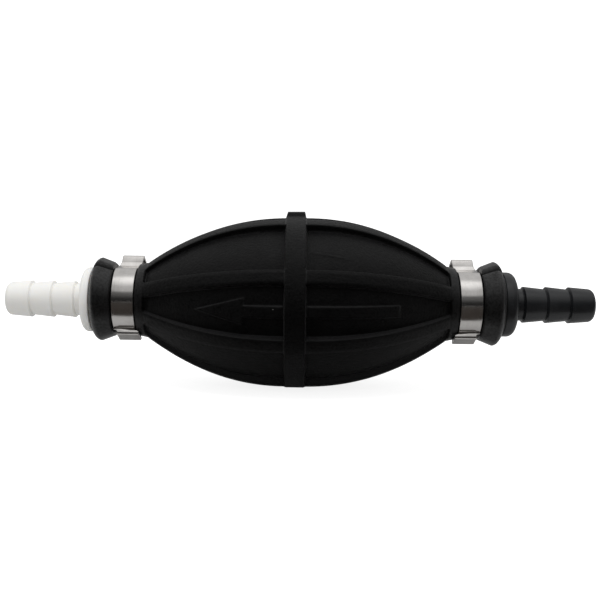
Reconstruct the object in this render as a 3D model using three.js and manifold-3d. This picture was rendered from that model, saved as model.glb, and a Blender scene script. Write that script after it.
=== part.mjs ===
// A squeeze-bulb siphon pump for fuel hose: a ribbed rubber bulb with a barbed fitting and a check
// valve in each end. Millimetres. The bulb's axis is X and the liquid flows towards -X.
// -Y is the side that carries the flow arrow, and +Z is up. The origin is halfway between the tips.
import * as THREE from "three";
import { mergeVertices } from "three/addons/utils/BufferGeometryUtils.js";
import Module from "manifold-3d";

const wasm = await Module();
wasm.setup();

// ---- driving dimensions -------------------------------------------------------------------------

const CLEARANCE = 0.1; // between two turned pieces that fit inside or against each other
const SPLIT_GAP = 0.3; // between the three regions of the rubber moulding

const RING_WIDTH = 5.4; // the hoop round the bulb's middle
const RING_PROUD = 0.2; // hoop above the ribs
const CROWN_RADIUS = 24.3; // outside of the ribs beside the hoop
const SHOULDER_STEP = 0.55; // ribs above the neck where they run out
const BELLY_POWER = 2.08; // how full the belly is: 2 is a parabola
const RIB_TOP = 4.2; // width of a rib's outer face
const RIB_BASE = 5.4;
const RIB_ANGLES = [-22.5, 22.5, 69.5, 110.5, 157.5, 202.5, 249.5, 290.5]; // from -Y towards +Z, degrees
const RECESS_AT_RING = 1.85; // depth of the panels between the ribs
const RECESS_AT_SHOULDER = 0.5;
const RECESS_DRAFT = 0.3; // length of the sloped wall at each end of a panel
const RUBBER_WALL = 2.6;
const GRIPPED_WALL = 2.5; // rubber squeezed under the clamp
const NECK_PROUD = 1.1; // neck above the clamp's groove
const NECK_LENGTH = 2.7; // from the end of the ribs to the clamp
const COLLAR_PROUD = 1.4; // collar above the neck
const COLLAR_LENGTH = 6.95; // from the clamp to the rubber's end
const COLLAR_ROUND = 1.2; // rounding of its free edge

const BAND_WIDTH = 6.3;
const BAND_THICKNESS = 0.7;
const BAND_MARGIN = 0.3; // free groove on each side of the band
const EAR_ROOT_HALF = 2.0;
const EAR_HEAD_HALF = 2.5;
const EAR_CORNER = 0.6;
const EARS = [
  { angle: 120, height: 3.8 }, // left open
  { angle: -60, height: 2.0 }, // crimped down
];

const CHAMBER_RADIUS = 5.0; // holds the check valve
const SPIGOT_WALL = 1.5; // round the chamber, in the part that the neck grips
const SPIGOT_LEAD = 0.9; // tapered edge that enters the neck
const SPIGOT_FLOOR = 1.8; // from the chamber's end to the flange
const BORE_RADIUS = 2.4;
const NOSE_WALL = 1.1; // width of the flat end face
const FLANGE_PROUD = 2.55; // flange above the spigot
const FLANGE_EDGE = 0.7; // chamfer of its outer edge
const BARB_COUNT = 3;
const BARB_WALL = 2.2; // round the bore, at the barbs' roots
const BARB_HEIGHT = 0.6;
const BARB_STEEP = 0.9; // length of a barb's steep side, which faces the bulb
const BARB_START = 2.75; // from the flange to the first crest
const FOOT_FILLET = 0.7; // where the barbed nipple meets the flange, a little over a barb's height
const LEAD_IN = 6.95; // from the last crest to the tip
const TIP_ROUND = 1.7; // length of the rounded nose

const ENDS = {
  outlet: { side: -1, belly: 39.4, flange: 2.1, barbPitch: 6.25, colour: 0xe9e9e4 },
  inlet: { side: 1, belly: 40.4, flange: 3.3, barbPitch: 6.55, colour: 0x17191c },
};

const VALVE_LENGTH = 11.6; // from the cage's face to the seat's face
const SEAT_LENGTH = 2.0;
const SEAT_HOLE = 2.6;
const SEAT_LEAD = 0.4; // chamfer of the hole's upstream edge
const CAGE_LENGTH = 1.6;
const CAGE_HOLES = 4;
const CAGE_WEB = 1.3; // between a flow hole and the edge of the cage, or the stem's hole
const FLOW_GAP = 1.0; // round the poppet
const POPPET_THICKNESS = 1.2;
const BOSS_GAP = 0.4; // round the poppet's boss in the seat
const BOSS_LENGTH = 1.2;
const STEM_RADIUS = 0.9;
const SEAL_THICKNESS = 0.5;
const SEAL_INSET = 0.2; // from the poppet's edge
const SPRING_GAP = 0.9; // from the stem to the wire
const SPRING_WIRE = 0.22;
const SPRING_TURNS = 4;
const WIRE_SIDES = 6;
const STEPS_PER_TURN = 14;

const ARROW = { tip: 26.8, headLength: 13.2, headHalf: 3.9, shaftHalf: 1.7, shaftEnd: -28 };
const ARROW_HEIGHT = 0.7; // above the panel
const ARROW_SINK = 0.8; // into the panel, to be one with it
const PAD = { width: 5.2, arc: 7.3, height: 1.35, sink: 1.0 };

const AROUND_SECTOR = 6; // points from one rib to the next
const AROUND_FITTING = 24;
const BELLY_STEPS = 8;

// ---- worked out from them -----------------------------------------------------------------------

const ringRadius = CROWN_RADIUS + RING_PROUD;
const spigotRadius = CHAMBER_RADIUS + SPIGOT_WALL;
const spigotLength = VALVE_LENGTH + 2 * CLEARANCE + SPIGOT_FLOOR;
const neckBore = spigotRadius + CLEARANCE;
const grooveRadius = neckBore + GRIPPED_WALL;
const bandInner = grooveRadius + CLEARANCE;
const bandOuter = bandInner + BAND_THICKNESS;
const neckRadius = grooveRadius + NECK_PROUD;
const shoulderRadius = neckRadius + SHOULDER_STEP;
const collarRadius = neckRadius + COLLAR_PROUD;
const splitY = collarRadius + SPLIT_GAP; // the walls beyond this plane are squeezed

const halfRing = RING_WIDTH / 2;
const shoulderAt = (end) => halfRing + end.belly;
const bandAt = (end) => shoulderAt(end) + NECK_LENGTH;
const collarAt = (end) => bandAt(end) + BAND_WIDTH;
const rubberEnd = (end) => collarAt(end) + COLLAR_LENGTH;
const flangeAt = (end) => rubberEnd(end) + CLEARANCE;
const hoseStop = (end) => flangeAt(end) + end.flange;
const crestAt = (end, i) => hoseStop(end) + BARB_START + i * end.barbPitch;
const reach = (end) => crestAt(end, BARB_COUNT - 1) + LEAD_IN;
const spigotAt = (end) => flangeAt(end) - spigotLength;
const ringX = (reach(ENDS.outlet) - reach(ENDS.inlet)) / 2;

// ---- helpers ------------------------------------------------------------------------------------

const radians = THREE.MathUtils.degToRad;

// Shapes are drawn as seen along +Y turned to the axis: x is -Y, y is +Z, and the depth runs to -X.
const ACROSS_AXIS = new THREE.Matrix4().makeBasis(
  new THREE.Vector3(0, -1, 0),
  new THREE.Vector3(0, 0, 1),
  new THREE.Vector3(-1, 0, 0),
);
// Shapes are drawn as seen along +Y: x is +X, y is +Z, and the depth runs to -Y.
const FROM_FRONT = new THREE.Matrix4().makeRotationX(Math.PI / 2);

function signedArea(points) {
  let area = 0;
  points.forEach(([x, r], i) => {
    const [nextX, nextR] = points[(i + 1) % points.length];
    area += (x * nextR - nextX * r) / 2;
  });
  return area;
}

// A body turned about the X axis from a closed outline of [x, radius] points.
function turned(outline, segments = AROUND_FITTING) {
  const points = signedArea(outline) < 0 ? outline : [...outline].reverse();
  const profile = [...points, points[0]].map(([x, r]) => new THREE.Vector2(r, x));
  return new THREE.LatheGeometry(profile, segments).rotateZ(-Math.PI / 2);
}

function extruded(shape, depth, curveSegments = 12) {
  return new THREE.ExtrudeGeometry(shape, { depth, curveSegments, bevelEnabled: false });
}

function solid(geometry) {
  const bare = geometry.index ? geometry.toNonIndexed() : geometry.clone();
  bare.deleteAttribute("normal");
  bare.deleteAttribute("uv");
  const merged = mergeVertices(bare, 1e-4);
  const mesh = new wasm.Mesh({
    numProp: 3,
    vertProperties: merged.attributes.position.array,
    triVerts: new Uint32Array(merged.index.array),
  });
  return new wasm.Manifold(mesh);
}

function geometryOf(manifold) {
  const mesh = manifold.getMesh();
  const geometry = new THREE.BufferGeometry();
  geometry.setAttribute("position", new THREE.BufferAttribute(mesh.vertProperties, 3));
  geometry.setIndex(new THREE.BufferAttribute(mesh.triVerts, 1));
  geometry.computeVertexNormals();
  return geometry;
}

function box(lowY, highY) {
  const size = 4 * reach(ENDS.inlet);
  const geometry = new THREE.BoxGeometry(size, highY - lowY, size);
  return solid(geometry.translate(0, (lowY + highY) / 2, 0));
}

const FINISHES = {
  rubber: { color: 0x1b1b1c, roughness: 0.75, metalness: 0 },
  seal: { color: 0x101010, roughness: 0.6, metalness: 0 },
  steel: { color: 0xc9c9c6, roughness: 0.22, metalness: 1 },
  acetal: { color: 0xe4e2da, roughness: 0.45, metalness: 0 },
};

function part(name, geometry, finish) {
  const mesh = new THREE.Mesh(geometry, new THREE.MeshStandardMaterial(finish));
  mesh.name = name;
  return mesh;
}

// ---- the rubber bulb ----------------------------------------------------------------------------

// Outside of the ribs at a distance from the hoop's middle, on the belly of one end.
function ribRadius(end, distance) {
  const fullness = 1 - ((distance - halfRing) / end.belly) ** BELLY_POWER;
  return shoulderRadius + (CROWN_RADIUS - shoulderRadius) * fullness;
}

function recess(end, distance) {
  const towardsRing = 1 - (distance - halfRing) / end.belly;
  return RECESS_AT_SHOULDER + (RECESS_AT_RING - RECESS_AT_SHOULDER) * towardsRing;
}

// Stations of the outside from the hoop to one end: distance, radius on a rib, radius on a panel.
function outsideStations(end) {
  const plain = (at, radius) => ({ at, rib: radius, panel: radius, ribbed: false });
  const stations = [plain(halfRing, ringRadius)];
  const from = halfRing + RECESS_DRAFT;
  const to = shoulderAt(end) - RECESS_DRAFT;
  for (let i = 0; i <= BELLY_STEPS; i++) {
    const at = from + (to - from) * (i / BELLY_STEPS);
    const rib = ribRadius(end, at);
    stations.push({ at, rib, panel: rib - recess(end, at), ribbed: true });
  }
  const groove = bandAt(end) - BAND_MARGIN;
  const grooveEnd = collarAt(end) + BAND_MARGIN;
  stations.push(
    plain(shoulderAt(end), neckRadius),
    plain(groove, neckRadius),
    plain(groove, grooveRadius),
    plain(grooveEnd, grooveRadius),
    plain(grooveEnd, neckRadius),
    plain(rubberEnd(end) - 2 * COLLAR_ROUND, collarRadius),
    plain(rubberEnd(end) - COLLAR_ROUND / 2, collarRadius - COLLAR_ROUND / 2),
    plain(rubberEnd(end), collarRadius - 1.5 * COLLAR_ROUND),
  );
  return stations;
}

// Stations of the inside: a wall of even thickness under the panels, and a bore through the neck.
function insideStations(end) {
  const stations = [{ at: 0, radius: CROWN_RADIUS - RECESS_AT_RING - RUBBER_WALL }];
  const neckStart = shoulderAt(end) - 1;
  for (let i = 1; i < BELLY_STEPS; i++) {
    const at = halfRing + (neckStart - halfRing) * (i / BELLY_STEPS);
    const radius = ribRadius(end, at) - recess(end, at) - RUBBER_WALL;
    stations.push({ at, radius: Math.max(radius, neckBore) });
  }
  stations.push({ at: neckStart, radius: neckBore }, { at: rubberEnd(end), radius: neckBore });
  return stations.map(({ at, radius }) => ({ at, rib: radius, panel: radius, ribbed: false }));
}

// The angle of point i round the bulb, in radians from -Y, and whether it is on a rib's face.
function pointRound(i, station) {
  const rib = Math.floor(i / AROUND_SECTOR) % RIB_ANGLES.length;
  const step = i % AROUND_SECTOR;
  const start = radians(RIB_ANGLES[rib]);
  const last = rib === RIB_ANGLES.length - 1;
  const next = radians(RIB_ANGLES[(rib + 1) % RIB_ANGLES.length] + (last ? 360 : 0));
  if (!station.ribbed) return { angle: start + ((next - start) * step) / AROUND_SECTOR, onRib: false };
  const top = RIB_TOP / 2 / station.rib;
  const base = RIB_BASE / 2 / station.rib;
  if (step < 2) return { angle: start + (step ? top : -top), onRib: true };
  const share = (step - 2) / (AROUND_SECTOR - 3);
  return { angle: start + base + (next - start - 2 * base) * share, onRib: false };
}

// The whole rubber moulding: a turned shell whose outer points are moved in to form the panels.
function bulbSolid() {
  const place = (end) => (s) => ({ ...s, x: ringX + end.side * s.at });
  const outside = [
    ...outsideStations(ENDS.inlet).reverse().map(place(ENDS.inlet)),
    ...outsideStations(ENDS.outlet).map(place(ENDS.outlet)),
  ];
  const inside = [
    ...insideStations(ENDS.outlet).reverse().map(place(ENDS.outlet)),
    ...insideStations(ENDS.inlet).slice(1).map(place(ENDS.inlet)),
  ];
  const stations = [...outside, ...inside, outside[0]];
  const around = AROUND_SECTOR * RIB_ANGLES.length;
  const profile = stations.map((s) => new THREE.Vector2(s.rib, s.x));
  const shell = new THREE.LatheGeometry(profile, around);
  const position = shell.attributes.position;
  for (let i = 0; i <= around; i++) {
    stations.forEach((station, j) => {
      const { angle, onRib } = pointRound(i % around, station);
      const radius = onRib ? station.rib : station.panel;
      const y = -radius * Math.cos(angle);
      position.setXYZ(i * stations.length + j, station.x, y, radius * Math.sin(angle));
    });
  }
  return solid(shell);
}

// A body of revolution that follows the panels of the belly at a height above them.
function overPanels(height) {
  const follow = (end) => {
    const points = [];
    for (let i = 0; i <= BELLY_STEPS; i++) {
      const at = halfRing + (end.belly * i) / BELLY_STEPS;
      points.push([ringX + end.side * at, ribRadius(end, at) - recess(end, at) + height]);
    }
    return points;
  };
  const outline = [...follow(ENDS.outlet).reverse(), ...follow(ENDS.inlet)];
  const from = outline[0][0];
  const to = outline.at(-1)[0];
  return solid(turned([[from, spigotRadius], ...outline, [to, spigotRadius]], 96));
}

// The raised flow arrow on the -Y panel. The hoop interrupts its shaft.
function arrowSolid() {
  const { tip, headLength, headHalf, shaftHalf, shaftEnd } = ARROW;
  const neck = tip - headLength;
  const shape = new THREE.Shape();
  shape.moveTo(-tip, 0);
  shape.lineTo(-neck, -headHalf);
  shape.lineTo(-neck, -shaftHalf);
  shape.lineTo(-shaftEnd, -shaftHalf);
  shape.lineTo(-shaftEnd, shaftHalf);
  shape.lineTo(-neck, shaftHalf);
  shape.lineTo(-neck, headHalf);
  const bar = extruded(shape, ringRadius).applyMatrix4(FROM_FRONT).translate(ringX, -splitY, 0);
  return solid(bar).intersect(overPanels(ARROW_HEIGHT)).subtract(overPanels(-ARROW_SINK));
}

// The small raised pad on top of the hoop.
function padSolid() {
  const shape = new THREE.Shape();
  const low = ringRadius - PAD.sink;
  const high = ringRadius + PAD.height;
  const half = PAD.arc / 2 / ringRadius;
  const middle = Math.PI / 2;
  shape.absarc(0, 0, high, middle - half, middle + half, false);
  shape.absarc(0, 0, low, middle + half, middle - half, true);
  const pad = extruded(shape, PAD.width, 6).translate(0, 0, -PAD.width / 2 - ringX);
  return solid(pad.applyMatrix4(ACROSS_AXIS));
}

// One moulding in three regions: the two walls that a hand squeezes, and all the rest.
function bulb() {
  const whole = bulbSolid().add(arrowSolid()).add(padSolid());
  const inner = splitY - SPLIT_GAP / 2;
  const outer = splitY + SPLIT_GAP / 2;
  const far = ringRadius * 2;
  const regions = {
    bulb_body: box(-inner, inner),
    bulb_front_wall: box(-far, -outer),
    bulb_back_wall: box(outer, far),
  };
  return Object.entries(regions).map(([name, region]) =>
    part(name, geometryOf(whole.intersect(region)), FINISHES.rubber),
  );
}

// ---- the ends -----------------------------------------------------------------------------------

// The moulded fitting, as [x, radius] with x measured outwards from the hoop's middle.
function fittingOutline(end) {
  const inner = spigotAt(end);
  const chamberEnd = flangeAt(end) - SPIGOT_FLOOR;
  const stop = hoseStop(end);
  const tip = reach(end);
  const flangeRadius = spigotRadius + FLANGE_PROUD;
  const root = BORE_RADIUS + BARB_WALL;
  const nose = BORE_RADIUS + NOSE_WALL;
  const outline = [
    [inner, CHAMBER_RADIUS],
    [inner, spigotRadius - SPIGOT_LEAD / 2],
    [inner + SPIGOT_LEAD, spigotRadius],
    [flangeAt(end), spigotRadius],
    [flangeAt(end), flangeRadius],
    [stop - FLANGE_EDGE, flangeRadius],
    [stop, flangeRadius - FLANGE_EDGE],
    [stop, root + FOOT_FILLET],
    [stop + FOOT_FILLET, root],
  ];
  for (let i = 0; i < BARB_COUNT; i++) {
    const crest = crestAt(end, i);
    outline.push([crest - BARB_STEEP, root], [crest, root + BARB_HEIGHT]);
  }
  outline.push(
    [tip - TIP_ROUND, root],
    [tip - TIP_ROUND / 3, (root + nose) / 2],
    [tip, nose],
    [tip, BORE_RADIUS],
    [chamberEnd, BORE_RADIUS],
    [chamberEnd, CHAMBER_RADIUS],
  );
  return outline;
}

function fitting(name, end) {
  const outline = fittingOutline(end).map(([x, r]) => [ringX + end.side * x, r]);
  const finish = { color: end.colour, roughness: 0.4, metalness: 0 };
  return part(`${name}_fitting`, turned(outline), finish);
}

// One edge of the clamp's strip: a circle with a loop where each ear stands.
function stripEdge(Path, radius, inset) {
  const path = new Path();
  const ears = [...EARS].sort((a, b) => a.angle - b.angle);
  const root = EAR_ROOT_HALF - inset;
  const turn = Math.asin(root / radius);
  ears.forEach(({ angle, height }, i) => {
    const at = radians(angle);
    const next = radians(i + 1 < ears.length ? ears[i + 1].angle : ears[0].angle + 360);
    const head = EAR_HEAD_HALF - inset;
    const top = bandOuter + height - inset;
    const corners = [
      [-root, radius * Math.cos(turn)],
      [-head, top - EAR_CORNER],
      [-head + EAR_CORNER, top],
      [head - EAR_CORNER, top],
      [head, top - EAR_CORNER],
    ];
    corners.forEach(([along, out], j) => {
      const x = out * Math.cos(at) - along * Math.sin(at);
      const y = out * Math.sin(at) + along * Math.cos(at);
      if (i === 0 && j === 0) path.moveTo(x, y);
      else path.lineTo(x, y);
    });
    path.absarc(0, 0, radius, at + turn, next - turn, false);
  });
  return path;
}

// A two-ear clamp: one strip of steel bent into a band with a hollow ear on opposite sides.
function clamp(name, end) {
  const strip = stripEdge(THREE.Shape, bandOuter, 0);
  strip.holes.push(stripEdge(THREE.Path, bandInner, BAND_THICKNESS));
  const middle = ringX + end.side * (bandAt(end) + BAND_WIDTH / 2);
  const band = extruded(strip, BAND_WIDTH, 24).translate(0, 0, -BAND_WIDTH / 2);
  const mesh = part(`${name}_clamp`, band.applyMatrix4(ACROSS_AXIS), FINISHES.steel);
  mesh.position.x = middle;
  return mesh;
}

// ---- the check valves ---------------------------------------------------------------------------

// Each valve is built with its cage's face at x = 0 and its seat towards +X, so it passes flow to -X.
const valveRadius = CHAMBER_RADIUS - CLEARANCE;
const seatFace = VALVE_LENGTH - SEAT_LENGTH;
const poppetFace = seatFace - SEAL_THICKNESS - 2 * CLEARANCE;
const poppetBack = poppetFace - POPPET_THICKNESS;
const poppetRadius = valveRadius - FLOW_GAP;
const bossRadius = SEAT_HOLE - BOSS_GAP;

function valveSeat(name) {
  const outline = [
    [seatFace, SEAT_HOLE],
    [seatFace, valveRadius],
    [VALVE_LENGTH, valveRadius],
    [VALVE_LENGTH, SEAT_HOLE + SEAT_LEAD],
    [VALVE_LENGTH - SEAT_LEAD, SEAT_HOLE],
  ];
  return part(`${name}_valve_seat`, turned(outline), FINISHES.acetal);
}

// A disc with a guiding stem behind it and a boss in front that carries the seal.
function valvePoppet(name) {
  const stemEnd = CLEARANCE;
  const outline = [
    [stemEnd, 0],
    [stemEnd, STEM_RADIUS],
    [poppetBack, STEM_RADIUS],
    [poppetBack, poppetRadius],
    [poppetFace, poppetRadius],
    [poppetFace, bossRadius],
    [seatFace + BOSS_LENGTH / 2, bossRadius],
    [seatFace + BOSS_LENGTH, bossRadius / 2],
    [seatFace + BOSS_LENGTH, 0],
  ];
  const profile = outline.map(([x, r]) => new THREE.Vector2(r, x));
  const body = new THREE.LatheGeometry(profile, AROUND_FITTING).rotateZ(-Math.PI / 2);
  return part(`${name}_valve_poppet`, body, FINISHES.acetal);
}

function valveSeal(name) {
  const from = poppetFace + CLEARANCE;
  const to = from + SEAL_THICKNESS;
  const hole = bossRadius + CLEARANCE;
  const rim = poppetRadius - SEAL_INSET;
  const outline = [[from, hole], [from, rim], [to, rim], [to, hole]];
  return part(`${name}_valve_seal`, turned(outline), FINISHES.seal);
}

const springRadius = STEM_RADIUS + SPRING_GAP + SPRING_WIRE;

// A helix of round wire between the cage and the poppet's disc.
class Helix extends THREE.Curve {
  constructor(from, to) {
    super();
    this.from = from;
    this.to = to;
  }
  getPoint(t, target = new THREE.Vector3()) {
    const turn = 2 * Math.PI * SPRING_TURNS * t;
    const x = this.from + (this.to - this.from) * t;
    return target.set(x, springRadius * Math.cos(turn), springRadius * Math.sin(turn));
  }
}

function valveSpring(name) {
  const wire = new THREE.Shape();
  for (let i = 0; i < WIRE_SIDES; i++) {
    const angle = (2 * Math.PI * i) / WIRE_SIDES;
    const point = [SPRING_WIRE * Math.cos(angle), SPRING_WIRE * Math.sin(angle)];
    if (i === 0) wire.moveTo(...point);
    else wire.lineTo(...point);
  }
  const rest = SPRING_WIRE + CLEARANCE;
  const extrudePath = new Helix(CAGE_LENGTH + rest, poppetBack - rest);
  const steps = STEPS_PER_TURN * SPRING_TURNS;
  const coil = new THREE.ExtrudeGeometry(wire, { steps, extrudePath, bevelEnabled: false });
  return part(`${name}_valve_spring`, coil, FINISHES.steel);
}

// The disc that guides the stem, with holes for the flow.
function valveCage(name) {
  const disc = new THREE.Shape().absarc(0, 0, valveRadius, 0, 2 * Math.PI, false);
  const hole = (x, y, radius) => new THREE.Path().absarc(x, y, radius, 0, 2 * Math.PI, true);
  const guide = STEM_RADIUS + CLEARANCE;
  const circle = (guide + valveRadius) / 2;
  disc.holes.push(hole(0, 0, guide));
  for (let i = 0; i < CAGE_HOLES; i++) {
    const angle = (2 * Math.PI * (i + 0.5)) / CAGE_HOLES;
    const radius = (valveRadius - guide) / 2 - CAGE_WEB / 2;
    disc.holes.push(hole(circle * Math.cos(angle), circle * Math.sin(angle), radius));
  }
  const plate = extruded(disc, CAGE_LENGTH, 6).applyMatrix4(ACROSS_AXIS).translate(CAGE_LENGTH, 0, 0);
  return part(`${name}_valve_cage`, plate, FINISHES.acetal);
}

function valve(name, end) {
  const group = new THREE.Group();
  group.add(valveSeat(name), valvePoppet(name), valveSeal(name), valveSpring(name), valveCage(name));
  const chamberNear = spigotAt(end) + CLEARANCE;
  const cageX = end.side > 0 ? chamberNear : -chamberNear - VALVE_LENGTH;
  group.position.x = ringX + cageX;
  return group;
}

// ---- the assembly -------------------------------------------------------------------------------

const group = new THREE.Group();
group.add(...bulb());
for (const [name, end] of Object.entries(ENDS)) {
  group.add(fitting(name, end), clamp(name, end), valve(name, end));
}
export default group;
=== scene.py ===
"""Siphon bulb pump: the visible model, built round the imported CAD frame.

The bulb is one rubber moulding with ribs, panels, a hoop and a flow arrow. A barbed fitting sits in
each neck under a two-ear clamp, and holds a small spring check valve. All lengths are in metres.
"""

import logging
import math
from dataclasses import dataclass, field
from enum import Enum
from functools import cache

import bmesh
import bpy
import numpy as np
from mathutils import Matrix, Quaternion, Vector


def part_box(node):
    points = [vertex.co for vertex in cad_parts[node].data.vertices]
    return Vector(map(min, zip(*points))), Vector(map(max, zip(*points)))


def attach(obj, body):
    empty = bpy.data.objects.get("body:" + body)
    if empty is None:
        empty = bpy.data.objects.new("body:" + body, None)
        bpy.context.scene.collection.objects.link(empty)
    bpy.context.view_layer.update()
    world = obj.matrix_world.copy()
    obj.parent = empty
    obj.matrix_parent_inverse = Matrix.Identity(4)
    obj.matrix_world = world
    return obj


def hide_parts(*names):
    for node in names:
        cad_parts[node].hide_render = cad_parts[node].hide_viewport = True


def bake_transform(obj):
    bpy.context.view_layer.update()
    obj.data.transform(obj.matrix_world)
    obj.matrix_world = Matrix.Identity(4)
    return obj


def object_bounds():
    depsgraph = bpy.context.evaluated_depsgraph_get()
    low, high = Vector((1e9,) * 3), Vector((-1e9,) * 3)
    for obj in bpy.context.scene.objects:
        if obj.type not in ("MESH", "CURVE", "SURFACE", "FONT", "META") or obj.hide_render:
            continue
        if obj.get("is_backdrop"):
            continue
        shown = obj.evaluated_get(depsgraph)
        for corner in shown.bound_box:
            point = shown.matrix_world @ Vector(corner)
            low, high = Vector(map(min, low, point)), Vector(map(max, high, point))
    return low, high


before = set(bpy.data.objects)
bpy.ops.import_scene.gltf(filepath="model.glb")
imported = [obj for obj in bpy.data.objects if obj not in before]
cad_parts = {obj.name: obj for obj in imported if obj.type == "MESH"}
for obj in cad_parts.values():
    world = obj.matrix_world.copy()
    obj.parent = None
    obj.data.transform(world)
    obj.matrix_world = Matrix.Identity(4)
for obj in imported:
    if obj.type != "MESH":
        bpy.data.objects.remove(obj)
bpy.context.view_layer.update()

MM = 0.001
ROOT = "pump_body"
log = logging.getLogger("siphon_bulb")
Point = tuple[float, float]
Colour = tuple[float, float, float]


class End(Enum):
    """The two ends of the pump, with the side of the hoop that each is on."""

    OUTLET = -1
    INLET = 1

    @property
    def label(self) -> str:
        """The end's name as the CAD nodes spell it."""
        return self.name.lower()


def per_end(outlet: float, inlet: float) -> dict[End, float]:
    """A dataclass field for a size that differs between the ends."""
    return field(default_factory=lambda: {End.OUTLET: outlet, End.INLET: inlet})


# ---- fields: node sockets that can be reckoned with like numbers ---------------------------------


@dataclass(frozen=True)
class Field:
    """A value inside a node tree."""

    socket: bpy.types.NodeSocket

    def _math(self, operation: str, *others: "Field | float") -> "Field":
        """Adds a Math node.

        Args:
            operation: The node's operation.
            others: The operands after this one.

        Returns:
            The node's result.
        """
        node = self.socket.id_data.nodes.new("ShaderNodeMath")
        node.operation = operation
        for socket, value in zip(node.inputs, (self, *others)):
            feed(socket, value)
        return Field(node.outputs[0])

    def __add__(self, other: "Field | float") -> "Field":
        """Sum."""
        return self._math("ADD", other)

    def __sub__(self, other: "Field | float") -> "Field":
        """Difference."""
        return self._math("SUBTRACT", other)

    def __mul__(self, other: "Field | float") -> "Field":
        """Product."""
        return self._math("MULTIPLY", other)

    def __truediv__(self, other: "Field | float") -> "Field":
        """Quotient."""
        return self._math("DIVIDE", other)

    def __pow__(self, other: "Field | float") -> "Field":
        """Power."""
        return self._math("POWER", other)

    def __neg__(self) -> "Field":
        """The value with its sign turned."""
        return self * -1.0

    def absolute(self) -> "Field":
        """The value without its sign."""
        return self._math("ABSOLUTE")

    def cosine(self) -> "Field":
        """Cosine of an angle in radians."""
        return self._math("COSINE")

    def sine(self) -> "Field":
        """Sine of an angle in radians."""
        return self._math("SINE")

    def least(self, other: "Field | float") -> "Field":
        """The smaller of two values."""
        return self._math("MINIMUM", other)

    def most(self, other: "Field | float") -> "Field":
        """The larger of two values."""
        return self._math("MAXIMUM", other)

    def below(self, limit: "Field | float") -> "Field":
        """1 where the value is under the limit, else 0."""
        return self._math("LESS_THAN", limit)

    def rise(self, low: "Field | float", high: "Field | float") -> "Field":
        """Goes smoothly from 0 at low to 1 at high.

        Args:
            low: Where the rise starts.
            high: Where it ends.

        Returns:
            The eased value.
        """
        tree = self.socket.id_data
        node = add_node(tree, "ShaderNodeMapRange", Value=self, From_Min=low, From_Max=high)
        node.interpolation_type = "SMOOTHSTEP"
        return Field(node.outputs["Result"])

    def rest(self) -> "Field":
        """What is left of 1."""
        return -self + 1.0

    def fall(self, low: "Field | float", high: "Field | float") -> "Field":
        """Goes smoothly from 1 at low to 0 at high."""
        return self.rise(low, high).rest()

    def spread(self, low: float, high: float) -> "Field":
        """Maps 0..1 to low..high in a straight line."""
        return self * (high - low) + low

    def hump(self) -> "Field":
        """1 halfway between 0 and 1, and 0 at both."""
        return self * self.rest() * 4.0

    def mix(self, other: "Field | float", share: "Field") -> "Field":
        """This value where share is 0 and the other where it is 1."""
        return self * share.rest() + share * other


def feed(socket: bpy.types.NodeSocket, value: "Field | bpy.types.NodeSocket | float | tuple") -> None:
    """Links a field or a socket to an input, or sets the input's own value.

    Args:
        socket: The input to feed.
        value: A field, a socket, a number or a colour.
    """
    source = value.socket if isinstance(value, Field) else value
    if isinstance(source, bpy.types.NodeSocket):
        socket.id_data.links.new(source, socket)
    else:
        socket.default_value = source


def feed_all(node: bpy.types.Node, inputs: dict[str, object]) -> None:
    """Feeds a node's inputs, by name, with _ for a space."""
    for name, value in inputs.items():
        feed(node.inputs[name.replace("_", " ")], value)


def add_node(tree: bpy.types.NodeTree, kind: str, **inputs: object) -> bpy.types.Node:
    """Adds a node and feeds its inputs.

    Args:
        tree: The tree that it goes in.
        kind: The node's type.
        inputs: What feeds each input, by name, with _ for a space.

    Returns:
        The node.
    """
    node = tree.nodes.new(kind)
    feed_all(node, inputs)
    return node


# ---- meshes --------------------------------------------------------------------------------------


def rounded(corners: list[tuple[float, float, float]], steps: int = 5, closed: bool = True) -> list[Point]:
    """Rounds the corners of an outline with arcs.

    Args:
        corners: Points as (x, y, radius). A radius of 0 keeps the corner.
        steps: Segments in each arc.
        closed: Whether the last point joins the first.

    Returns:
        The outline's points.
    """
    nearly_straight = math.radians(89.5)
    points: list[Point] = []
    count = len(corners)
    for i, (x, y, radius) in enumerate(corners):
        here = Vector((x, y))
        before = Vector(corners[i - 1][:2]) - here
        after = Vector(corners[(i + 1) % count][:2]) - here
        at_end = not closed and i in (0, count - 1)
        half = math.pi if radius <= 0 or at_end else before.angle(after) / 2
        if half > nearly_straight:
            points.append((x, y))
            continue
        before.normalize()
        after.normalize()
        centre = here + (before + after).normalized() * (radius / math.sin(half))
        first = here + before * radius / math.tan(half) - centre
        last = here + after * radius / math.tan(half) - centre
        turn = first.angle_signed(last)
        for step in range(steps + 1):
            cos, sin = math.cos(-turn * step / steps), math.sin(-turn * step / steps)
            x, y = first.x * cos - first.y * sin, first.x * sin + first.y * cos
            points.append((centre.x + x, centre.y + y))
    return points


def mesh_object(name: str, vertices: np.ndarray, edges: list, faces: list) -> bpy.types.Object:
    """Makes an object at the origin.

    Args:
        name: The piece's name.
        vertices: One row of x, y, z for each vertex.
        edges: Pairs of vertex numbers, for a mesh without faces.
        faces: Tuples of vertex numbers.

    Returns:
        The new object, linked to the scene.
    """
    mesh = bpy.data.meshes.new(name)
    mesh.from_pydata([tuple(v) for v in vertices], edges, faces)
    return placed(bpy.data.objects.new(name, mesh))


def placed(thing: bpy.types.Object) -> bpy.types.Object:
    """Links an object to the scene."""
    bpy.context.scene.collection.objects.link(thing)
    return thing


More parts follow.
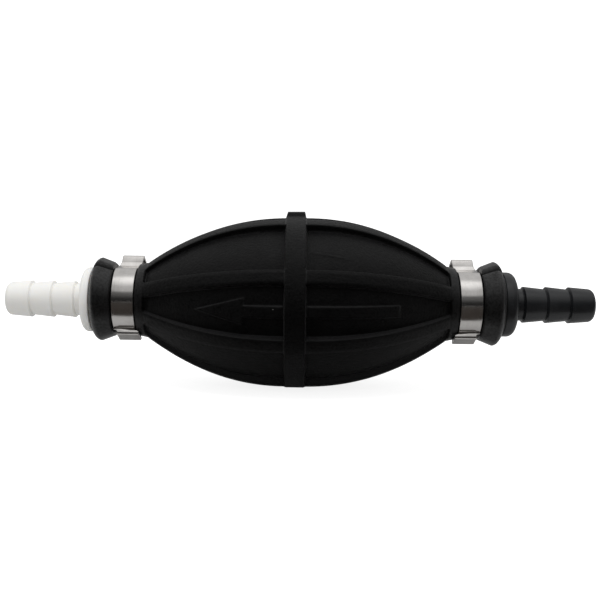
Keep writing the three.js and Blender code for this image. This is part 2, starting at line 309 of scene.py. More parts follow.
def path_object(name: str, points: list[tuple[float, float, float]], closed: bool) -> bpy.types.Object:
    """A path of edges for the sweep tree."""
    edges = [(i, (i + 1) % len(points)) for i in range(len(points) - (not closed))]
    return mesh_object(name, points, edges, [])


def tidy_faces(piece: bpy.types.Object, sharp: float = 40.0) -> bpy.types.Object:
    """Merges doubles, points the faces outwards and shades them smooth up to an angle.

    Args:
        piece: The object to clean.
        sharp: Edges that turn by more than this many degrees stay sharp.

    Returns:
        The same piece.
    """
    work = bmesh.new()
    work.from_mesh(piece.data)
    bmesh.ops.remove_doubles(work, verts=work.verts, dist=1e-6)
    bmesh.ops.dissolve_degenerate(work, edges=work.edges, dist=1e-7)
    bmesh.ops.recalc_face_normals(work, faces=work.faces)
    work.to_mesh(piece.data)
    work.free()
    return shaded(piece, sharp)


def shaded(piece: bpy.types.Object, sharp: float) -> bpy.types.Object:
    """Shades a piece smooth, except edges that turn by more than so many degrees.

    Args:
        piece: The object to shade.
        sharp: The angle, in degrees.

    Returns:
        The same piece.
    """
    piece.data.shade_smooth()
    piece.data.set_sharp_from_angle(angle=math.radians(sharp))
    return piece


def revolved(name: str, outline: list[Point], segments: int) -> bpy.types.Object:
    """Turns a closed outline about the X axis.

    Args:
        name: The piece's name.
        outline: Points as (x, radius).
        segments: Steps round the axis.

    Returns:
        The turned piece.
    """
    turns = np.linspace(0.0, 2.0 * math.pi, segments, endpoint=False)
    rows = [(x, r * math.cos(t), r * math.sin(t)) for t in turns for x, r in outline]
    count = len(outline)
    faces = []
    for i in range(segments):
        near, far = i * count, (i + 1) % segments * count
        for j in range(count):
            k = (j + 1) % count
            faces.append((near + j, near + k, far + k, far + j))
    return tidy_faces(mesh_object(name, rows, [], faces))


# ---- geometry node trees -------------------------------------------------------------------------


@dataclass
class ShapeTree:
    """A geometry node tree with named inputs that ends in plain, painted mesh."""

    name: str
    sizes: dict[str, float]
    tree: bpy.types.NodeTree = field(init=False)

    def __post_init__(self) -> None:
        """Makes the tree and its sockets."""
        self.tree = bpy.data.node_groups.new(self.name, "GeometryNodeTree")
        sockets = [("Geometry", "INPUT", "Geometry")]
        sockets += [(size, "INPUT", "Float") for size in self.sizes]
        sockets += [("Material", "INPUT", "Material"), ("Geometry", "OUTPUT", "Geometry")]
        for name, side, kind in sockets:
            self.tree.interface.new_socket(name=name, in_out=side, socket_type="NodeSocket" + kind)
        self.inputs = self.tree.nodes.new("NodeGroupInput")

    def size(self, name: str) -> Field:
        """One of the tree's named inputs."""
        return Field(self.inputs.outputs[name])

    def add(self, kind: str, **inputs: object) -> bpy.types.Node:
        """Adds a geometry node, by the last part of its type, and feeds its inputs."""
        return add_node(self.tree, "GeometryNode" + kind, **inputs)

    def attribute(self, name: str) -> Field:
        """A number that the mesh carries at each point."""
        return Field(self.add("InputNamedAttribute", Name=name).outputs["Attribute"])

    def vector(self, x: "Field | float", y: "Field | float", z: "Field | float") -> Field:
        """Three numbers as one vector."""
        return Field(add_node(self.tree, "ShaderNodeCombineXYZ", X=x, Y=y, Z=z).outputs[0])

    def noise(self, place: Field, scale: float, seed: float) -> Field:
        """Smooth noise between 0 and 1.

        Args:
            place: Where it is read.
            scale: Cells in each metre.
            seed: Picks the pattern.

        Returns:
            The noise.
        """
        node = self.tree.nodes.new("ShaderNodeTexNoise")
        node.noise_dimensions = "4D"
        feed_all(node, {"Vector": place, "W": seed, "Scale": scale, "Detail": 2.0})
        return Field(node.outputs[0])

    def marked(self, geometry: bpy.types.NodeSocket, name: str, value: Field) -> bpy.types.NodeSocket:
        """Stores a number on each point for the finish to read.

        Args:
            geometry: The socket that holds the shape.
            name: The attribute's name.
            value: What is stored.

        Returns:
            The socket with the marked shape.
        """
        node = self.add("StoreNamedAttribute", Geometry=geometry, Name=name)
        node.data_type = "FLOAT"
        node.domain = "POINT"
        feed(node.inputs["Value"], value)
        return node.outputs["Geometry"]

    def finish(self, geometry: bpy.types.NodeSocket) -> "ShapeTree":
        """Realizes and paints the geometry and sends it out.

        Args:
            geometry: The socket that holds the shape.

        Returns:
            This tree, ready for use.
        """
        real = self.add("RealizeInstances", Geometry=geometry)
        material = self.inputs.outputs["Material"]
        paint = self.add("SetMaterial", Geometry=real.outputs[0], Material=material)
        add_node(self.tree, "NodeGroupOutput", Geometry=paint.outputs[0])
        return self

    def applied(self, piece: bpy.types.Object, material: bpy.types.Material, **changes: float) -> None:
        """Shapes a piece with this tree, turns the result into plain mesh and drops the modifier.

        Args:
            piece: The object that holds the tree's starting mesh.
            material: What the tree paints it with.
            changes: Sizes that differ from the tree's own, with _ for a space.
        """
        modifier = piece.modifiers.new(self.name, "NODES")
        modifier.node_group = self.tree
        values = {**self.sizes, **{name.replace("_", " "): value for name, value in changes.items()}}
        values["Material"] = material
        for item in self.tree.interface.items_tree:
            if item.in_out == "INPUT" and item.name in values:
                modifier[item.identifier] = values[item.name]
        graph = bpy.context.evaluated_depsgraph_get()
        graph.update()
        shape = piece.evaluated_get(graph)
        mesh = bpy.data.meshes.new_from_object(shape, preserve_all_data_layers=True, depsgraph=graph)
        piece.modifiers.clear()
        piece.data = mesh
        mesh.name = piece.name


def sweep_tree() -> ShapeTree:
    """The tree that runs a rounded strip or a wire along a path of edges."""
    shape = ShapeTree("swept_section", {"Width": 0.0, "Thickness": 0.0, "Corner": 0.0})
    path = shape.add("MeshToCurve", Mesh=shape.inputs.outputs["Geometry"])
    section = shape.add(
        "CurvePrimitiveQuadrilateral", Width=shape.size("Width"), Height=shape.size("Thickness")
    )
    corner = shape.add("FilletCurve", Curve=section.outputs[0], Radius=shape.size("Corner"))
    corner.mode = "POLY"
    corner.inputs["Count"].default_value = 4
    sweep = shape.add(
        "CurveToMesh", Curve=path.outputs[0], Profile_Curve=corner.outputs[0], Fill_Caps=True
    )
    return shape.finish(sweep.outputs["Mesh"])


def drill_tree() -> ShapeTree:
    """The tree that cuts a circle of round holes through a disc that lies across X."""
    sizes = {"Middle X": 0.0, "Circle Radius": 0.0, "Hole Radius": 1.3 * MM, "Holes": 4.0}
    shape = ShapeTree("circle_of_holes", sizes)
    circle = shape.add("MeshCircle", Vertices=shape.size("Holes"), Radius=shape.size("Circle Radius"))
    drill = shape.add("MeshCylinder", Vertices=32, Depth=4.0 * MM, Radius=shape.size("Hole Radius"))
    copies = shape.add("InstanceOnPoints", Points=circle.outputs["Mesh"], Instance=drill.outputs["Mesh"])
    across = shape.add(
        "Transform",
        Geometry=copies.outputs[0],
        Rotation=(math.pi / 4, math.pi / 2, 0.0),
        Translation=shape.vector(shape.size("Middle X"), 0.0, 0.0),
    )
    solid = shape.add("RealizeInstances", Geometry=across.outputs[0])
    cut = shape.add("MeshBoolean", Mesh_2=solid.outputs[0])
    cut.operation = "DIFFERENCE"
    feed(cut.inputs["Mesh 1"], shape.inputs.outputs["Geometry"])
    return shape.finish(cut.outputs["Mesh"])


# ---- finishes ------------------------------------------------------------------------------------


def effect_group(name: str, inputs: dict[str, float], outputs: tuple[str, ...]) -> tuple:
    """Makes an empty shader group with a Vector input, number inputs and number outputs.

    Args:
        name: The group's name.
        inputs: Number inputs with their defaults.
        outputs: Number outputs.

    Returns:
        The tree, its input node's sockets and its output node's sockets.
    """
    tree = bpy.data.node_groups.new(name, "ShaderNodeTree")
    face = tree.interface
    face.new_socket(name="Vector", in_out="INPUT", socket_type="NodeSocketVector")
    for label, value in inputs.items():
        socket = face.new_socket(name=label, in_out="INPUT", socket_type="NodeSocketFloat")
        socket.default_value = value
    for label in outputs:
        face.new_socket(name=label, in_out="OUTPUT", socket_type="NodeSocketFloat")
    return tree, tree.nodes.new("NodeGroupInput").outputs, tree.nodes.new("NodeGroupOutput").inputs


@cache
def clouds_group() -> bpy.types.NodeTree:
    """Slow clouds and a fine grain, for mottled colour, uneven gloss and bump."""
    sizes = {"Cloud Scale": 60.0, "Grain Scale": 1500.0}
    tree, given, out = effect_group("clouds_and_grain", sizes, ("Clouds", "Grain"))
    slow = {"Scale": given["Cloud Scale"], "Detail": 5.0, "Roughness": 0.6}
    fine = {"Scale": given["Grain Scale"], "Detail": 4.0, "Roughness": 0.7}
    clouds, grain = (
        Field(add_node(tree, "ShaderNodeTexNoise", Vector=given["Vector"], **look).outputs[0])
        for look in (slow, fine)
    )
    feed(out["Clouds"], clouds.rise(0.3, 0.7))
    feed(out["Grain"], grain)
    return tree


@cache
def specks_group() -> bpy.types.NodeTree:
    """Scattered small specks, such as dust or pits. Amount is the share of cells that hold one."""
    sizes = {"Scale": 500.0, "Amount": 0.1, "Size": 0.2}
    tree, given, out = effect_group("scattered_specks", sizes, ("Mask",))
    cells = add_node(
        tree, "ShaderNodeTexVoronoi", Vector=given["Vector"], Scale=given["Scale"], Randomness=1.0
    )
    split = add_node(tree, "ShaderNodeSeparateColor", Color=cells.outputs["Color"])
    chosen = Field(split.outputs[0]).below(Field(given["Amount"]))
    size = Field(given["Size"]) * Field(split.outputs[1]).spread(0.4, 1.0)
    feed(out["Mask"], Field(cells.outputs["Distance"]).fall(size * 0.5, size) * chosen)
    return tree


@cache
def streaks_group() -> bpy.types.NodeTree:
    """Fine streaks that run round the X axis, as rolling leaves them on strip."""
    tree, given, out = effect_group("rolled_streaks", {"Scale": 900.0}, ("Streaks",))
    stretch = add_node(tree, "ShaderNodeMapping", Vector=given["Vector"], Scale=(1.0, 0.04, 0.04))
    look = {"Scale": given["Scale"], "Detail": 3.0, "Roughness": 0.65}
    lines = add_node(tree, "ShaderNodeTexNoise", Vector=stretch.outputs[0], **look)
    feed(out["Streaks"], Field(lines.outputs[0]))
    return tree


@dataclass(frozen=True)
class Surface:
    """A material's tree and its surface shader, while a finish wires them."""

    tree: bpy.types.NodeTree
    shader: bpy.types.Node

    def put(self, **values: object) -> None:
        """Feeds the shader's inputs, by name, with _ for a space."""
        feed_all(self.shader, values)

    def group(self, group: bpy.types.NodeTree, **values: float) -> list[Field]:
        """Places a shared group on Object coordinates.

        Args:
            group: The shared group.
            values: The group's inputs, with _ for a space.

        Returns:
            The group's outputs.
        """
        node = self.tree.nodes.new("ShaderNodeGroup")
        node.node_tree = group
        where = self.tree.nodes.new("ShaderNodeTexCoord")
        feed_all(node, {"Vector": where.outputs["Object"], **values})
        return [Field(socket) for socket in node.outputs]

    def carried(self, name: str) -> Field:
        """A number that the mesh carries.

        Args:
            name: The attribute's name.

        Returns:
            Its value.
        """
        node = self.tree.nodes.new("ShaderNodeAttribute")
        node.attribute_name = name
        return Field(node.outputs["Fac"])

    def blend(self, share: Field, first: object, second: Colour) -> bpy.types.NodeSocket:
        """Mixes two colours.

        Args:
            share: 0 for the first colour and 1 for the second.
            first: A colour or a socket.
            second: A colour.

        Returns:
            The socket with the mixed colour.
        """
        node = self.tree.nodes.new("ShaderNodeMix")
        node.data_type = "RGBA"
        feed(node.inputs[0], share)
        feed(node.inputs[6], (*first, 1.0) if isinstance(first, tuple) else first)
        feed(node.inputs[7], (*second, 1.0))
        return node.outputs[2]

    def bump(self, height: Field, depth: float) -> None:
        """Gives the surface a fine relief whose height goes from 0 to 1 and is so many metres deep."""
        node = add_node(self.tree, "ShaderNodeBump", Distance=depth, Strength=1.0, Height=height)
        self.put(Normal=node.outputs[0])


@dataclass(frozen=True)
class Finish:
    """What every finish has: a name, a slot in the record, a colour and a range of roughness."""

    name: str
    slot: str
    colour: Colour
    roughness: tuple[float, float]

    def paint(self) -> bpy.types.Material:
        """Makes the material.

        Returns:
            The material with its nodes wired.
        """
        material = bpy.data.materials.new(self.name)
        material.use_nodes = True
        tree = material.node_tree
        self.wire(Surface(tree, tree.nodes["Principled BSDF"]))
        return material

    def wire(self, surface: Surface) -> None:
        """Wires the finish's own nodes."""
        raise NotImplementedError


@dataclass(frozen=True)
class MouldedRubber(Finish):
    """Matte black rubber, faintly bloomed in slow clouds, with painted highlights on upward-facing edges,
    painted shade under the ribs and the arrow and in the collar slits, and a little dust.
    """

    # The pale colour for bloom and for the painted highlights on the edges.
    bloom_and_highlight: Colour = (0.011, 0.011, 0.0115)
    dust: Colour = (0.42, 0.42, 0.4)
    bloomed: float = 0.12
    # How far the painted highlight on the edge mask lightens the colour.
    painted_highlight: float = 0.55
    collar_bloom: float = 0.3
    shine: float = 0.12
    # Coat added along the painted highlights.
    highlight_gloss: float = 0.2
    polished: float = 0.9
    coat_roughness: float = 0.36
    specular: float = 0.18
    sheen: float = 0.035
    # How far the dark mask's painted shade darkens the colour and the coat.
    painted_shade_depth: float = 0.85
    relief: float = 0.00008

    def wire(self, surface: Surface) -> None:
        """Wires bloomed tone that follows slow clouds, painted highlights along the edge mask and painted
        shade from the dark mask, with dust on top.

        Args:
            surface: The material's tree and shader.
        """
        clouds, grain = surface.group(clouds_group(), Cloud_Scale=160.0, Grain_Scale=1500.0)
        (dust,) = surface.group(specks_group(), Scale=700.0, Amount=0.02, Size=0.14)
        edge, collar = surface.carried("edge"), surface.carried("collar")
        # Painted shade: the dark mask darkens the colour and the coat under the ribs, along the arrow's
        # lower edges and in the collar slits.
        light = -surface.carried("dark") * self.painted_shade_depth + 1.0
        grain = grain.rise(0.36, 0.64)
        mottle = clouds * 0.5 + grain * 0.5
        # Bloom in clouds and on the collar, plus the painted highlight along the edge mask, all dimmed by
        # the painted shade.
        share = mottle * self.bloomed + edge * self.painted_highlight + collar * grain * self.collar_bloom
        bloomed = surface.blend(share.least(1.0) * light, self.colour, self.bloom_and_highlight)
        # The coat also follows the painted highlights and is dimmed by the painted shade.
        gloss = collar * mottle.spread(0.4, 1.0) * self.polished
        gloss = gloss + mottle * self.shine + edge * self.highlight_gloss
        surface.put(
            Base_Color=surface.blend(dust * 0.5, bloomed, self.dust),
            Roughness=mottle.spread(*self.roughness) - edge * 0.08,
            Coat_Weight=gloss * light,
            Coat_Roughness=self.coat_roughness,
            Specular_IOR_Level=self.specular,
            Sheen_Weight=self.sheen,
            Sheen_Roughness=0.3,
        )
        surface.bump(grain + clouds * 0.5, self.relief)


@dataclass(frozen=True)
class MouldedPlastic(Finish):
    """Moulded plastic with slow unevenness and a few pits."""

    tint: Colour = (0.8, 0.8, 0.8)
    pits: float = 0.03
    relief: float = 0.00002
    depth_of_light: float = 0.0

    def wire(self, surface: Surface) -> None:
        """Wires a tint that follows the clouds, and pits that roughen it.

        Args:
            surface: The material's tree and shader.
        """
        clouds, grain = surface.group(clouds_group(), Cloud_Scale=120.0, Grain_Scale=1800.0)
        (pits,) = surface.group(specks_group(), Scale=700.0, Amount=self.pits, Size=0.2)
        surface.put(
            Base_Color=surface.blend(clouds * 0.6 + grain * 0.3, self.colour, self.tint),
            Roughness=(clouds * 0.5 + grain * 0.5).spread(*self.roughness) + pits * 0.2,
        )
        if self.depth_of_light:
            surface.put(
                Subsurface_Weight=0.25,
                Subsurface_Radius=(1.0, 0.9, 0.75),
                Subsurface_Scale=self.depth_of_light,
            )
        surface.bump(grain - pits * 0.6, self.relief)


@dataclass(frozen=True)
class RolledSteel(Finish):
    """Bright steel strip or wire with rolling streaks and light scuffs."""

    scuffed: Colour = (0.42, 0.4, 0.38)
    relief: float = 0.000012

    def wire(self, surface: Surface) -> None:
        """Wires streaks that run round the band, and scuffs that dull it in places.

        Args:
            surface: The material's tree and shader.
        """
        (streaks,) = surface.group(streaks_group(), Scale=2600.0)
        clouds, _ = surface.group(clouds_group(), Cloud_Scale=260.0, Grain_Scale=2400.0)
        surface.put(
            Base_Color=surface.blend(clouds * streaks * 0.7, self.colour, self.scuffed),
            Metallic=1.0,
            Roughness=(streaks * 0.7 + clouds * 0.3).spread(*self.roughness),
        )
        surface.bump(streaks + clouds * 0.6, self.relief)


def dress(piece: bpy.types.Object, finish: Finish, node: str, body: str) -> bpy.types.Object:
    """Paints a piece, unless its tree has, and joins it to the body that carries it.

    Args:
        piece: The piece.
        finish: What it is made of.
        node: The CAD node that it stands for.
        body: The body that it rides on.

    Returns:
        The same piece.
    """
    if not piece.data.materials:
        piece.data.materials.append(finish.paint())
    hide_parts(node)
    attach(piece, body)
    return piece


# ---- the bulb ------------------------------------------------------------------------------------


@dataclass
class Bulb:
    """The rubber moulding: belly, hoop, ribs, panels, arrow, necks and collars.

    Distances are from the hoop's middle, and angles are from the front, in degrees. Each point of
    the unshaped mesh carries what the tree needs: its place along X, its end's belly length, its
    angle and sideways offset, how far it is sunk, its plain radius, and 1 if it is outside.
    """

    ring_x: float = -1.4 * MM
    half_ring: float = 2.7 * MM
    ring_radius: float = 24.5 * MM
    crown_radius: float = 24.3 * MM
    shoulder_radius: float = 10.75 * MM
    fullness: float = 2.08
    belly: dict[End, float] = per_end(39.4 * MM, 40.4 * MM)
    recess_at_ring: float = 1.85 * MM
    recess_at_shoulder: float = 1.25 * MM
    wall: float = 2.6 * MM
    neck_radius: float = 10.2 * MM
    neck_bore: float = 6.6 * MM
    groove_radius: float = 9.1 * MM
    groove_edge: float = 0.35 * MM
    neck_length: float = 2.7 * MM
    band_width: float = 6.3 * MM
    collar_length: dict[End, float] = per_end(6.45 * MM, 6.6 * MM)
    collar_radius: dict[End, float] = per_end(11.75 * MM, 11.9 * MM)
    collar_end_radius: dict[End, float] = per_end(8.7 * MM, 9.3 * MM)
    brim_from_end: float = 2.35 * MM
    brim_depth: float = 4.4 * MM
    rib_flat: float = 1.85 * MM
    rib_foot: float = 2.45 * MM
    rib_angles: tuple[float, ...] = (-69.5, -22.5, 22.5, 69.5)
    arrow_height: float = 0.55 * MM
    arrow_edge: float = 0.25 * MM
    arrow_tip: float = -26.8 * MM
    arrow_neck: float = -13.6 * MM
    arrow_tail: float = 28.0 * MM
    arrow_head_half: float = 3.9 * MM
    arrow_shaft_half: float = 1.7 * MM
    pad_height: float = 0.8 * MM
    flash_height: float = 0.16 * MM
    top_lift: Point = (0.35 * MM, 0.75 * MM)
    slit_angle: float = 64.0
    slit_depth: float = 1.2 * MM
    ridge_height: float = 0.3 * MM
    squeeze_start: float = 10.9 * MM
    unevenness: float = 0.10 * MM
    bump_scale: float = 70.0
    seed: float = 3.0
    inner_rings: int = 49
    panel_steps: int = 24
    fine_steps: tuple[int, ...] = (24, 24, 64, 44, 24)
    carried: tuple[str, ...] = ("along", "belly", "turn", "side", "sunk", "plain", "outside")

    def round_samples(self, fine: bool) -> list[tuple[float, float, float]]:
        """Sample points from -90 to 90 degrees.

        Args:
            fine: Whether the panels need enough points for the arrow and the flash lines.

        Returns:
            For each sample: its angle in radians, its sideways offset in metres from that angle, and
            how far it is sunk, from 0 on a rib's face to 1 on a panel.
        """
        faces = np.linspace(-self.rib_flat, self.rib_flat, 5)
        flank = np.linspace(self.rib_flat, self.rib_foot, 7)[1:]
        across = (flank - self.rib_flat) / (self.rib_foot - self.rib_flat)
        sunk = across * across * (3 - 2 * across)
        samples: list[tuple[float, float, float]] = []
        edges = [-90.0, *self.rib_angles, 90.0]
        last = len(edges) - 2
        for i, (low, high) in enumerate(zip(edges, edges[1:])):
            if i > 0:
                samples += [(math.radians(low), w, 0.0) for w in faces]
                samples += [(math.radians(low), w, s) for w, s in zip(flank, sunk)]
            shares = np.linspace(0.0, 1.0, (self.fine_steps[i] if fine else self.panel_steps) + 1)
            if i == 0:
                shares = shares[:-1] ** 1.5
            elif i == last:
                shares = 1.0 - (1.0 - shares[1:]) ** 1.5
            else:
                shares = shares[1:-1]
            low_foot = self.rib_foot if i > 0 else 0.0
            high_foot = self.rib_foot if i < last else 0.0
            for share in shares:
                angle = math.radians(low + (high - low) * share)
                samples.append((angle, low_foot * (1 - share) - high_foot * share, 1.0))
            if i < last:
                samples += [(math.radians(high), -w, s) for w, s in zip(flank[::-1], sunk[::-1])]
        return samples

    def shoulder(self, end: End) -> float:
        """Where an end's ribs run out."""
        return self.half_ring + self.belly[end]

    def rubber_end(self, end: End) -> float:
        """Where the rubber ends."""
        return self.shoulder(end) + self.neck_length + self.band_width + self.collar_length[end]

    def neck_profile(self, end: End, distance: float) -> float:
        """Outside radius beyond the belly.

        Args:
            end: Which end.
            distance: Distance from the hoop's middle.

        Returns:
            The radius of the neck, the clamp's groove or the collar there.
        """
        band = self.shoulder(end) + self.neck_length
        collar = band + self.band_width
        brim = self.rubber_end(end) - self.brim_from_end
        edge = self.groove_edge
        if distance < band - edge:
            along = max(distance - self.shoulder(end), 0.0) / self.neck_length
            return self.shoulder_radius + (self.neck_radius - self.shoulder_radius) * along
        if distance < collar + edge:
            inside = min(distance - band + edge, collar + edge - distance) / edge
            share = min(max(inside, 0.0), 1.0)
            return self.neck_radius + (self.groove_radius - self.neck_radius) * share**0.5
        if distance < brim:
            flare = (distance - collar) / (brim - collar)
            return self.neck_radius + (self.collar_radius[end] - self.neck_radius) * flare
        past_brim = (distance - brim) / self.brim_from_end
        dome = self.brim_depth * (1.0 - math.sqrt(max(0.0, 1.0 - past_brim * past_brim)))
        return max(self.collar_radius[end] - dome, self.collar_end_radius[end])

    def bore(self, end: End, distance: float) -> float:
        """Inside radius.

        Args:
            end: Which end.
            distance: Distance from the hoop's middle.

        Returns:
            The radius of the cavity or of the neck's bore.
        """
        reach = min(max(distance - self.half_ring, 0.0) / self.belly[end], 1.0)
        full = 1.0 - reach**self.fullness
        rib = self.shoulder_radius + (self.crown_radius - self.shoulder_radius) * full
        recess = self.recess_at_ring + (self.recess_at_shoulder - self.recess_at_ring) * reach
        return max(rib - recess - self.wall, self.neck_bore)

    def stations(self) -> list[float]:
        """Places along X of the outside's rings of points, from the outlet to the inlet."""
        places: list[float] = []
        for end in End:
            ring, shoulder, last = self.half_ring, self.shoulder(end), self.rubber_end(end)
            band = shoulder + self.neck_length
            collar = band + self.band_width
            # Where each span starts, and how many rings of points it has.
            stops = [
                (0.0, 3),
                (ring - 0.4 * MM, 11),
                (ring + 0.7 * MM, 70),
                (29.5 * MM, 16),
                (shoulder - 0.9 * MM, 10),
                (shoulder + 0.6 * MM, 5),
                (band - 0.4 * MM, 5),
                (band + 0.3 * MM, 4),
                (collar - 0.3 * MM, 5),
                (collar + 0.4 * MM, 10),
                (last - self.brim_from_end - 0.4 * MM, 26),
                (last, 1),
            ]
            for (low, steps), (high, _) in zip(stops, stops[1:]):
                spaced = [low + (high - low) * step / steps for step in range(steps)]
                places += [self.ring_x + end.value * distance for distance in spaced]
            places.append(self.ring_x + end.value * last)
        return sorted(set(places))

    def tree(self) -> ShapeTree:
        """The tree that gives the outside its belly, ribs, hoop, pad, arrow, flash and slits, and marks
        where highlights and shade are painted.

        Each rise or fall has the two places that its transition lies between.
        """
        sizes = {
            "Ring X": self.ring_x,
            "Half Ring": self.half_ring,
            "Ring Radius": self.ring_radius,
            "Crown Radius": self.crown_radius,
            "Shoulder Radius": self.shoulder_radius,
            "Fullness": self.fullness,
            "Recess at Ring": self.recess_at_ring,
            "Recess at Shoulder": self.recess_at_shoulder,
            "Arrow Height": self.arrow_height,
            "Pad Height": self.pad_height,
            "Unevenness": self.unevenness,
        }
        shape = ShapeTree("ribbed_bulb", sizes)
        along, belly, turn, side, sunk, plain, outside = map(shape.attribute, self.carried)
        ring_radius, shoulder = shape.size("Ring Radius"), shape.size("Shoulder Radius")
        offset = along - shape.size("Ring X")
        distance = offset.absolute()
        past_ring = distance - shape.size("Half Ring")
        past_belly = distance - belly - shape.size("Half Ring")
        reach = (past_ring.most(0.0) / belly).least(1.0)
        full = (reach ** shape.size("Fullness")).rest()
        rib = shoulder + (shape.size("Crown Radius") - shoulder) * full
        recess = shape.size("Recess at Shoulder").mix(shape.size("Recess at Ring"), reach.rest())
        on_belly = past_belly.fall(-0.55 * MM, 0.25 * MM)
        on_ring = past_ring.fall(-0.15 * MM, 0.45 * MM)
        off_ring = on_ring.rest()
        angle = turn + side / rib.most(shoulder)
        height = angle * rib
        arrow = self.arrow_mask(offset, height)
        panel = rib - recess * sunk + arrow * shape.size("Arrow Height") * sunk
        bellied = plain.mix(panel, on_belly).mix(ring_radius, on_ring)
        flashed = bellied + self.flash(offset, angle, rib) * sunk * self.flash_height
        pad = ((angle - math.pi / 2).absolute() * ring_radius).fall(3.2 * MM, 3.75 * MM)
        pad = pad * distance.fall(2.35 * MM, 2.75 * MM)
        lift = angle.sine().most(0.0) * offset.rise(-20.0 * MM, 25.0 * MM).spread(*self.top_lift)
        padded = flashed + pad * shape.size("Pad Height") + lift * on_belly * (full**0.5)
        on_collar = past_belly.rise(9.0 * MM, 9.8 * MM)
        from_slit = (angle - math.radians(self.slit_angle)) * self.collar_radius[End.OUTLET]
        slit = from_slit.absolute().fall(0.05 * MM, 0.32 * MM)
        ridge = from_slit.rise(0.2 * MM, 0.8 * MM) * from_slit.fall(6.2 * MM, 8.5 * MM)
        parted = padded + on_collar * (ridge * self.ridge_height - slit * self.slit_depth)
        noise = shape.noise(self.turned(shape, along, angle, rib), self.bump_scale, self.seed) - 0.5
        radius = plain.mix(parted + noise * shape.size("Unevenness") * on_belly, outside)
        # Painted highlight (edge): upper rib flanks, a thin line at the foot of every flank, the hoop's
        # edges and the arrow's upper edges.
        facing_up = side.rise(-0.5 * MM, 0.0)
        flank = sunk.hump() * off_ring
        foot_highlight = sunk.rise(0.6, 0.93) * sunk.fall(0.93, 1.0) * off_ring
        arrow_flank = arrow.hump() * sunk * off_ring
        arrow_up = height.rise(-0.2 * MM, 0.4 * MM)
        edge = (flank * facing_up).most(on_ring.hump()).most(arrow_flank * arrow_up).most(foot_highlight * 0.8)
        # Painted shade (dark): lower rib flanks off the hoop, the arrow's lower edges and, in the marks
        # below, the collar's slit.
        dark = (flank * facing_up.rest() * foot_highlight.rest()).most(arrow_flank * arrow_up.rest())
        # edge carries the painted highlight and dark the painted shade to the finish; collar is the
        # collar's own tone.
        marks = {
            "edge": (edge * on_belly * outside).least(1.0),
            "dark": (dark * on_belly).most(slit * on_collar) * outside,
            "collar": past_belly.rise(-4.0 * MM, 6.0 * MM),
        }
        marked = shape.inputs.outputs["Geometry"]
        for label, mask in marks.items():
            marked = shape.marked(marked, label, mask)
        target = self.turned(shape, along, angle, radius)
        return shape.finish(shape.add("SetPosition", Geometry=marked, Position=target).outputs["Geometry"])

    @staticmethod
    def turned(shape: ShapeTree, along: Field, angle: Field, radius: Field) -> Field:
        """The point at a place along X, an angle from the front and a radius."""
        return shape.vector(along, -(angle.cosine() * radius), angle.sine() * radius)

    @staticmethod
    def flash(offset: Field, angle: Field, radius: Field) -> Field:
        """Thin ridges that the mould left on the upper panel.

        Args:
            offset: Distance along X from the hoop's middle.
            angle: Angle from the front, in radians.
            radius: The ribs' radius there.

        Returns:
            1 on the ridges, 0 elsewhere.
        """
        half_width = (0.05 * MM, 0.3 * MM)
        start, slope, start_angle, foot_angle = 3.9 * MM, 4.0 / (11.1 * MM), 41.8, 62.4
        slanted = (offset - start) * -math.radians(slope) + math.radians(start_angle)
        slant = ((angle - slanted).absolute() * radius).fall(*half_width)
        slant = slant * offset.rise(3.4 * MM, 4.4 * MM) * offset.fall(13.0 * MM, 15.5 * MM)
        foot = ((angle - math.radians(foot_angle)).absolute() * radius).fall(*half_width)
        foot = foot * offset.fall(-3.6 * MM, -3.0 * MM) * offset.rise(-12.0 * MM, -9.0 * MM)
        return slant.most(foot)

    def arrow_mask(self, offset: Field, height: Field) -> Field:
        """1 on the flow arrow, falling softly to 0 round it.

        Args:
            offset: Distance along X from the hoop's middle.
            height: Distance up the panel from its middle.

        Returns:
            The mask.
        """
        soft, up = self.arrow_edge, height.absolute()
        width = (offset - self.arrow_tip) * (self.arrow_head_half / (self.arrow_neck - self.arrow_tip))
        past_neck, past_tail = offset - self.arrow_neck, offset - self.arrow_tail
        in_head = (up - width).fall(-soft, soft) * past_neck.fall(-soft, soft)
        in_shaft = (up - self.arrow_shaft_half).fall(-soft, soft) * past_tail.fall(-soft, soft)
        return in_head.most(in_shaft * past_neck.rise(-2.0 * soft, 0.0))

    def half(self, name: str, turned: float) -> bpy.types.Object:
        """Makes one half of the shell, closed along the plane between the halves.

        Args:
            name: The piece's name.
            turned: Half turns round the axis: 0 for the front half, 1 for the back half.

        Returns:
            The unshaped half, with what the tree needs stored on its points.
        """
        samples = self.round_samples(fine=turned == 0.0)
        outer = self.stations()
        ends = [self.ring_x + end.value * self.rubber_end(end) for end in End]
        inner = list(np.linspace(*ends, self.inner_rings))
        count = len(samples)
        rows = []
        for outside, places in ((1.0, outer), (0.0, inner)):
            for x in places:
                end = End.OUTLET if x < self.ring_x else End.INLET
                distance = abs(x - self.ring_x)
                plain = self.neck_profile(end, distance) if outside else self.bore(end, distance)
                for angle, side, sunk in samples:
                    rows.append((x, self.belly[end], angle + turned * math.pi, side, sunk, plain, outside))
        inner_start = len(outer) * count
        faces = []
        for start, places, flip in ((0, outer, False), (inner_start, inner, True)):
            for i in range(len(places) - 1):
                for j in range(count - 1):
                    a = start + i * count + j
                    quad = (a, a + 1, a + count + 1, a + count)
                    faces.append(quad[::-1] if flip else quad)
        last_rings = ((len(outer) - 1) * count, inner_start + (len(inner) - 1) * count)
        for (a, b), flip in (((0, inner_start), True), (last_rings, False)):
            for j in range(count - 1):
                quad = (a + j, a + j + 1, b + j + 1, b + j)
                faces.append(quad[::-1] if flip else quad)
        for j, flip in ((0, False), (count - 1, True)):
            faces += self.cut_faces(outer, inner, count, j, flip)
        columns = dict(zip(self.carried, np.array(rows).T))
